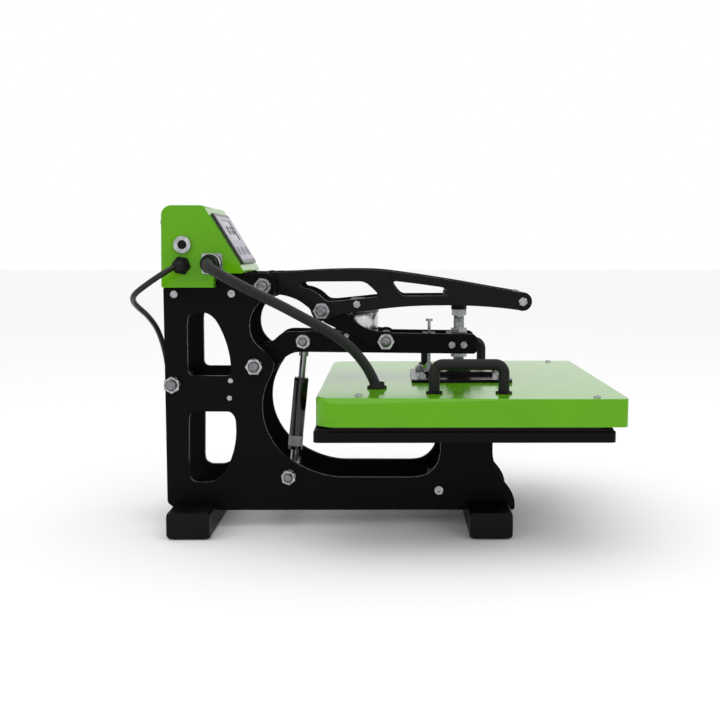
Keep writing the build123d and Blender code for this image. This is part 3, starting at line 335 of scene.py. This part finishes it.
def nurbs(name, points, radius, mat):
    cu = bpy.data.curves.new(name, "CURVE")
    cu.dimensions = "3D"
    sp = cu.splines.new("NURBS")
    sp.points.add(len(points) - 1)
    for p, c in zip(sp.points, points):
        p.co = (*c, 1.0)
    sp.order_u = 3
    sp.use_endpoint_u = True
    sp.resolution_u = 8
    cu.bevel_depth = radius
    cu.bevel_resolution = 5
    cu.use_fill_caps = True
    cu.materials.append(mat)
    ob = bpy.data.objects.new(name, cu)
    scene.collection.objects.link(ob)
    return ob


def centreline(points, res=8):
    cu = bpy.data.curves.new("route_tmp", "CURVE")
    cu.dimensions = "3D"
    sp = cu.splines.new("NURBS")
    sp.points.add(len(points) - 1)
    for p, c in zip(sp.points, points):
        p.co = (*c, 1.0)
    sp.order_u = 3
    sp.use_endpoint_u = True
    sp.resolution_u = res
    ob = bpy.data.objects.new("route_tmp", cu)
    me = bpy.data.meshes.new_from_object(ob)
    out = [v.co.copy() for v in me.vertices]
    bpy.data.objects.remove(ob)
    bpy.data.curves.remove(cu)
    bpy.data.meshes.remove(me)
    return out


# ------------------------------------------------------------------ power cord
ROUTE = [
    (-0.118, 0.2944, 0.3923), (-0.1407, 0.2944, 0.3923), (-0.1593, 0.3032, 0.3862), (-0.170, 0.3184, 0.3755),
    (-0.170, 0.3359, 0.3632), (-0.1593, 0.3512, 0.3525), (-0.138, 0.358, 0.343), (-0.104, 0.358, 0.332),
    (-0.062, 0.353, 0.318), (-0.022, 0.346, 0.294), (0.010, 0.342, 0.256), (0.032, 0.341, 0.210),
    (0.050, 0.341, 0.160), (0.066, 0.342, 0.110), (0.080, 0.344, 0.064), (0.096, 0.347, 0.028), (0.118, 0.348, 0.009),
    (0.146, 0.342, 0.0043), (0.172, 0.327, 0.0043), (0.190, 0.300, 0.0043), (0.196, 0.265, 0.0043),
    (0.194, 0.228, 0.0043), (0.193, 0.192, 0.0043),
]
CX, CY = 0.150, 0.150
LAYERS = [(0.0491, 0.0043), (0.0409, 0.0045), (0.0409, 0.0127), (0.0493, 0.0127)]
coil = []
PER = 14
for t in range(4):
    (r0, z0) = LAYERS[t]
    (r1, z1) = LAYERS[min(t + 1, 3)]
    for k in range(PER):
        w = max(0.0, (k - PER + 4) / 4.0)
        r = r0 + (r1 - r0) * w
        z = z0 + (z1 - z0) * w
        a = math.radians(14) - 2 * math.pi * k / PER
        coil.append((CX + r / math.cos(math.pi / PER) * 1.0 * math.cos(a), CY + r / math.cos(math.pi / PER) * math.sin(a), z))
coil.append((CX + 0.0495, CY + 0.010, 0.0127))
TAIL = [(0.1994, 0.128, 0.0124), (0.199, 0.112, 0.012), (0.199, 0.107, 0.012)]
cord_points = ROUTE + coil + TAIL
cord = nurbs("power_cord_line", cord_points, 0.0041, CORD)
line = centreline(cord_points)
cord_length = sum((line[i + 1] - line[i]).length for i in range(len(line) - 1))
print("power cord length", round(cord_length, 3))
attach(cord, "frame")
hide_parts("power_cord", "power_cord_coil")

relief_profile = [(0.0042, 0.0), (0.0078, 0.0)]
for i in range(6):
    h = 0.001 + i * 0.0044
    r = 0.0078 - 0.00045 * i
    relief_profile += [(r, h), (r, h + 0.0026), (r - 0.0012, h + 0.0030), (r - 0.0012, h + 0.0040)]
relief_profile += [(0.0052, 0.0285), (0.0043, 0.0290)]
relief = new_mesh("cord_strain_relief", *lathe(relief_profile, (-0.1178, 0.2944, 0.3923), (-1, 0, 0)), RUBBER, "frame")
tail_profile = [(0.0042, 0.0), (0.0085, 0.0), (0.0085, 0.004), (0.0072, 0.005), (0.0072, 0.008), (0.0062, 0.009),
                (0.0062, 0.012), (0.0052, 0.013), (0.0044, 0.018)]
plug_relief = new_mesh("plug_strain_relief", *lathe(tail_profile, (0.199, 0.1078, 0.012), (0, 1, 0)), RUBBER, "frame")

# ------------------------------------------------------------------ heater lead, a ribbed conduit
LEAD = [
    (-0.140, 0.250, 0.395), (-0.1629, 0.250, 0.395), (-0.1851, 0.2386, 0.3889), (-0.198, 0.2191, 0.3785),
    (-0.198, 0.1964, 0.3664), (-0.190, 0.170, 0.352), (-0.180, 0.142, 0.3375), (-0.170, 0.112, 0.320),
    (-0.161, 0.083, 0.304), (-0.153, 0.056, 0.2855), (-0.147, 0.034, 0.262), (-0.1425, 0.019, 0.238),
    (-0.1402, 0.0116, 0.2195),
]
path = centreline(LEAD, 16)
# even steps along the line
lens = [0.0]
for i in range(len(path) - 1):
    lens.append(lens[-1] + (path[i + 1] - path[i]).length)
STEP = 0.00065
count = int(lens[-1] / STEP)
even, j = [], 0
for i in range(count + 1):
    d = lens[-1] * i / count
    while j < len(lens) - 2 and lens[j + 1] < d:
        j += 1
    t = (d - lens[j]) / max(1e-9, lens[j + 1] - lens[j])
    even.append(path[j].lerp(path[j + 1], t))
verts, faces = [], []
NS = 20
ref = Vector((0, 0, 1))
for i, p in enumerate(even):
    d = (even[min(i + 1, count)] - even[max(i - 1, 0)]).normalized()
    ref = (ref - d * ref.dot(d)).normalized()
    side = d.cross(ref)
    ph = (i % 5)
    r = 0.0075 if ph in (0, 1, 2) else 0.0069
    if i < 3 or i > count - 3:
        r = 0.0075
    for k in range(NS):
        a = 2 * math.pi * k / NS
        verts.append(p + (ref * math.cos(a) + side * math.sin(a)) * r)
for i in range(count):
    for k in range(NS):
        faces.append((i * NS + k, i * NS + (k + 1) % NS, (i + 1) * NS + (k + 1) % NS, (i + 1) * NS + k))
faces.append(tuple(range(NS)))
faces.append(tuple(count * NS + k for k in range(NS)))
me = bpy.data.meshes.new("heater_lead_conduit")
me.from_pydata([tuple(v) for v in verts], [], faces)
me.materials.append(CONDUIT)
me.shade_smooth()
lead = bpy.data.objects.new("heater_lead_conduit", me)
scene.collection.objects.link(lead)
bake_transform(lead)
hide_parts("heater_lead")

# ------------------------------------------------------------------ small parts
SLANT = math.atan2(479.0 - 381.0, 262 - 202.6)
S = Vector((0, math.cos(SLANT), math.sin(SLANT)))
OUT = Vector((0, -math.sin(SLANT), math.cos(SLANT)))
PM = Vector((0, 0.2326, 0.4305))
XX = Vector((1, 0, 0))


def on_panel(x, along, out):
    return PM + XX * x + S * along + OUT * out


# face sheet of the panel, a frame round the screen and the keys
def ring_sheet(outer, inner_list, z, name, mat, body):
    """Flat sheet on the panel with rectangular windows: built as strips between the window edges."""
    xs = sorted({outer[0], outer[1], *[w[0] for w in inner_list], *[w[1] for w in inner_list]})
    ys = sorted({outer[2], outer[3], *[w[2] for w in inner_list], *[w[3] for w in inner_list]})
    verts, index, faces = [], {}, []

    def vid(x, y, top):
        key = (x, y, top)
        if key not in index:
            index[key] = len(verts)
            verts.append(on_panel(x, y, z + (0.0003 if top else 0.0)))
        return index[key]
    cells = set()
    for i in range(len(xs) - 1):
        for k in range(len(ys) - 1):
            cx, cy = (xs[i] + xs[i + 1]) / 2, (ys[k] + ys[k + 1]) / 2
            if not any(w[0] < cx < w[1] and w[2] < cy < w[3] for w in inner_list):
                cells.add((i, k))
    for i, k in cells:
        a, b_, c, d = (xs[i], ys[k]), (xs[i + 1], ys[k]), (xs[i + 1], ys[k + 1]), (xs[i], ys[k + 1])
        faces.append((vid(*a, 1), vid(*b_, 1), vid(*c, 1), vid(*d, 1)))
        faces.append((vid(*d, 0), vid(*c, 0), vid(*b_, 0), vid(*a, 0)))
        for (p, q), nb in (((a, b_), (i, k - 1)), ((b_, c), (i + 1, k)), ((c, d), (i, k + 1)), ((d, a), (i - 1, k))):
            if nb not in cells:
                faces.append((vid(*p, 0), vid(*q, 0), vid(*q, 1), vid(*p, 1)))
    return new_mesh(name, verts, faces, mat, body, smooth=False)


sheet_windows = [(-0.043, 0.043, -0.003, 0.031)] + [(x - 0.0112, x + 0.0112, -0.0287, -0.0153) for x in (-0.048, 0, 0.048)]
panel_sheet = ring_sheet((-0.0745, 0.0745, -0.0375, 0.0375), sheet_windows, 0.004, "panel_face_sheet", PANEL, "frame")

# seven-segment figures behind the screen glass
DIGIT = bpy.data.materials.new("digit_glow")
DIGIT.use_nodes = True
db = DIGIT.node_tree.nodes["Principled BSDF"]
db.inputs["Base Color"].default_value = (0.045, 0.03, 0.04, 1)
db.inputs["Roughness"].default_value = 0.35
db.inputs["Emission Strength"].default_value = 0.02
dn = DIGIT.node_tree.nodes.new("ShaderNodeTexNoise")
dn.inputs["Scale"].default_value = 400.0
dr = DIGIT.node_tree.nodes.new("ShaderNodeValToRGB")
dr.color_ramp.elements[0].color = (0.8, 0.05, 0.02, 1)
dr.color_ramp.elements[1].color = (1.0, 0.12, 0.05, 1)
DIGIT.node_tree.links.new(dn.outputs["Fac"], dr.inputs["Fac"])
DIGIT.node_tree.links.new(dr.outputs["Color"], db.inputs["Emission Color"])
SEG = {"0": "abcdef", "1": "bc", "2": "abged", "3": "abgcd", "4": "fgbc", "5": "afgcd", "6": "afgedc", "7": "abc",
       "8": "abcdefg", "9": "abcfgd"}
bars = []
for text, x0, y0, h in (("180", -0.036, 0.014, 0.013), ("060", 0.006, 0.014, 0.013)):
    w = h * 0.52
    for i, ch in enumerate(text):
        cx = x0 + i * (w + 0.0035) + w / 2
        seg = {"a": (cx, y0 + h / 2, w * 0.4, 0.0007), "g": (cx, y0, w * 0.4, 0.0007), "d": (cx, y0 - h / 2, w * 0.4, 0.0007),
               "f": (cx - w / 2, y0 + h / 4, 0.0007, h * 0.19), "b": (cx + w / 2, y0 + h / 4, 0.0007, h * 0.19),
               "e": (cx - w / 2, y0 - h / 4, 0.0007, h * 0.19), "c": (cx + w / 2, y0 - h / 4, 0.0007, h * 0.19)}
        for sname in SEG[ch]:
            sx, sy, hx, hy = seg[sname]
            bars.append(box_mesh(on_panel(sx, sy, 0.0037), (hx, hy, 0.00012), (XX, S, OUT), 0.00008))
digits = new_mesh("display_figures", *merged(*bars), DIGIT, "frame", smooth=False)

# arrows and dot on the keys
WHITE = material("key_mark", (0.05, 0.05, 0.06), 0.5, bump=0.05)
for kn, x, shape in (("key_down", -0.048, "down"), ("key_set", 0.0, "dot"), ("key_up", 0.048, "up")):
    c0 = on_panel(x, -0.022, 0.00502)
    if shape == "dot":
        v, f = lathe([(0.0022, 0.0), (0.0022, 0.0001), (0.0018, 0.0002)], c0, OUT, 24)
    else:
        sgn = 1 if shape == "up" else -1
        tri = [(-0.003, -0.002 * sgn), (0.003, -0.002 * sgn), (0, 0.0028 * sgn)]
        v = [c0 + XX * a + S * b_ for a, b_ in tri] + [c0 + XX * a * 0.9 + S * b_ * 0.9 + OUT * 0.0002 for a, b_ in tri]
        f = [(0, 1, 2), (3, 4, 5), (0, 1, 4, 3), (1, 2, 5, 4), (2, 0, 3, 5)]
    mk = new_mesh(kn + "_mark", v, f, WHITE, kn, smooth=False)

# cross-recess screws on the cover, the recess drawn as dark raised bars of painted shade
def cross_screw(name, x, y, z, body):
    c0 = Vector((x, y, z))
    v1 = lathe([(0.0050, 0.0), (0.0050, 0.0006), (0.0046, 0.0014), (0.0036, 0.0021), (0.0022, 0.0024), (0.0, 0.00245)][:-1],
               c0, (0, 0, 1), 32)
    # painted shade: two thin near-black bars on the head stand in for the shaded cross recess
    a = box_mesh(c0 + Vector((0, 0, 0.0024)), (0.0026, 0.0005, 0.00012), cut=0.0001)
    b_ = box_mesh(c0 + Vector((0, 0, 0.0024)), (0.0005, 0.0026, 0.00012), cut=0.0001)
    ob = new_mesh(name, *v1, ZINC, body)
    ob.data.materials.append(BEZEL_AND_RECESS_SHADE)
    recess_shade_ob = new_mesh(name + "_recess_shade", *merged(a, b_), BEZEL_AND_RECESS_SHADE, body, smooth=False)


for i, (x, y) in enumerate(((-0.240, -0.286), (0.240, -0.286), (-0.222, 0.035), (0.222, 0.035))):
    cross_screw(f"cover_screw_{i}", x, y, 0.2181, "platen")

# blank label and crimp lines on the gas spring
G = Vector((0, 0.1439, 0.0776))
D = Vector((0, 0.1238, 0.2773))
gu = (D - G).normalized()
lab = lathe([(0.0111, 0.0), (0.01125, 0.0001), (0.01125, 0.0159), (0.0111, 0.016)], G + gu * 0.034, gu, 48)
label = new_mesh("gas_spring_label", *lab, LABEL, "gas_cylinder")
cap = lathe([(0.0111, 0.0), (0.0114, 0.0006), (0.0114, 0.0022), (0.0111, 0.0028)], G + gu * 0.134, gu, 48)
capo = new_mesh("gas_spring_crimp", *cap, GAS, "gas_cylinder")

# thread on the pressure spindle
def thread(name, x, y, z0, z1, r, pitch, body, mat, depth=0.0007):
    n = 24
    turns = (z1 - z0) / pitch
    steps = int(turns * n)
    verts, faces = [], []
    for i in range(steps + 1):
        a = 2 * math.pi * i / n
        z = z0 + pitch * i / n
        for rr, dz in ((r - 0.0001, -pitch * 0.45), (r + depth, 0.0), (r - 0.0001, pitch * 0.45)):
            verts.append(Vector((x + rr * math.cos(a), y + rr * math.sin(a), z + dz)))
    for i in range(steps):
        for k in range(2):
            faces.append((i * 3 + k, (i + 1) * 3 + k, (i + 1) * 3 + k + 1, i * 3 + k + 1))
        faces.append((i * 3 + 2, (i + 1) * 3 + 2, (i + 1) * 3, i * 3))
    faces.append((0, 1, 2))
    faces.append((steps * 3, steps * 3 + 1, steps * 3 + 2))
    ob = new_mesh(name, verts, faces, mat, body)
    return ob


for nm, z0, z1 in (("spindle_thread_upper", 0.2962, 0.3132), ("spindle_thread_lower", 0.2442, 0.2495)):
    th = thread(nm, 0, -0.1138, z0, z1, 0.0080, 0.002, "knob", STEEL, 0.00045)

# moulded cap on the knob
prof = [(0.0245, 0.0), (0.0235, 0.0012), (0.020, 0.0016), (0.0185, 0.0010), (0.010, 0.0008), (0.0001, 0.0008)]
kc = new_mesh("pressure_knob_cap", *lathe(prof, (0, -0.1138, 0.35295), (0, 0, 1), 64), PLASTIC, "knob")

# thin lead of the magnet, along the inside of the left arm plate
wire = nurbs("magnet_lead", [(-0.0335, 0.040, 0.2915), (-0.0348, 0.052, 0.2945), (-0.0345, 0.072, 0.2955), (-0.0338, 0.094, 0.2942),
                             (-0.0330, 0.116, 0.2925), (-0.0320, 0.138, 0.2885), (-0.030, 0.156, 0.281)], 0.0012, CORD)
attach(wire, "arm")

# domed thread ends standing out of the nuts, each ringed by a thin dark sheet that is painted shade for the thread
# groove
END = material("thread_end", (0.20, 0.20, 0.21), 0.34, metal=1.0, var=0.4, scale=400, bump=0.3, bump_scale=900)
# painted shade: near-black colour for the shaded groove between thread end and nut
GROOVE_SHADE = material("thread_groove_shade", (0.02, 0.02, 0.02), 0.5, metal=0.6, bump=0.1)


def thread_end(name, y, z, r, x, body):
    s = -1 if x < 0 else 1
    prof = [(r * 0.985, 0.0), (r * 0.985, 0.0006), (r * 0.90, 0.0012), (r * 0.80, 0.0015), (r * 0.40, 0.0019), (r * 0.02, 0.0020)]
    o1 = new_mesh(name, *lathe(prof, (x, y, z), (s, 0, 0), 36), END, body)
    # painted shade: a flat dark ring standing in for the shaded groove round the thread end
    g = [(r * 1.02, 0.0), (r * 1.13, 0.0), (r * 1.13, 0.00025), (r * 1.02, 0.0003)]
    o2 = new_mesh(name + "_groove_shade", *lathe(g, (x, y, z), (s, 0, 0), 36), GROOVE_SHADE, body)


for tag, y, z, r in (("a", 0.1791, 0.3616, 0.007), ("c", 0.1931, 0.2433, 0.007), ("f", 0.3144, 0.2164, 0.007), ("g", 0.1439, 0.0776, 0.006)):
    for sd, x in (("left", -0.0940), ("right", 0.0940)):
        thread_end(f"shaft_end_{tag}_{sd}", y, z, r, x, "frame")
for sd, s_ in (("left", -1), ("right", 1)):
    thread_end(f"link_bolt_end_{sd}", 0.0944, 0.3244, 0.007, s_ * 0.0720, "lever")
    thread_end(f"arm_pin_end_{sd}", -0.0013, 0.2781, 0.007, s_ * 0.0660, "arm")
    thread_end(f"spring_pin_end_{sd}", 0.1238, 0.2773, 0.006, s_ * 0.0515, "arm")

# bright knurled ring nut of the lead plug, and its sleeve
ring_prof = [(0.0115, 0.0), (0.0138, 0.0), (0.0142, 0.0006), (0.0142, 0.0012)]
for i in range(6):
    ring_prof += [(0.0138, 0.0014 + i * 0.0012), (0.0142, 0.0020 + i * 0.0012)]
ring_prof += [(0.0142, 0.0092), (0.0138, 0.0098), (0.0117, 0.0100)]
plug_ring = new_mesh("lead_plug_ring", *lathe(ring_prof, (-0.1112, 0.250, 0.395), (-1, 0, 0), 60), CHROME, "frame")
boot_prof = [(0.0117, 0.0), (0.0122, 0.0005), (0.0118, 0.006), (0.0108, 0.010), (0.0096, 0.015), (0.0088, 0.020), (0.0077, 0.0215)]
boot = new_mesh("lead_plug_boot", *lathe(boot_prof, (-0.1235, 0.250, 0.395), (-1, 0, 0), 48), RUBBER, "frame")

# plastic collars at the feet of the U handles on the cover
for side, s in (("left", -1), ("right", 1)):
    for k, y in enumerate((-0.1645, -0.0685)):
        fl = lathe([(0.0077, 0.0), (0.0115, 0.0), (0.0115, 0.0022), (0.0100, 0.0032), (0.0077, 0.0034)],
                   (s * 0.198, y, 0.2181), (0, 0, 1), 40)
        fo = new_mesh(f"handle_{side}_foot_{k}", *fl, PLASTIC, "platen")
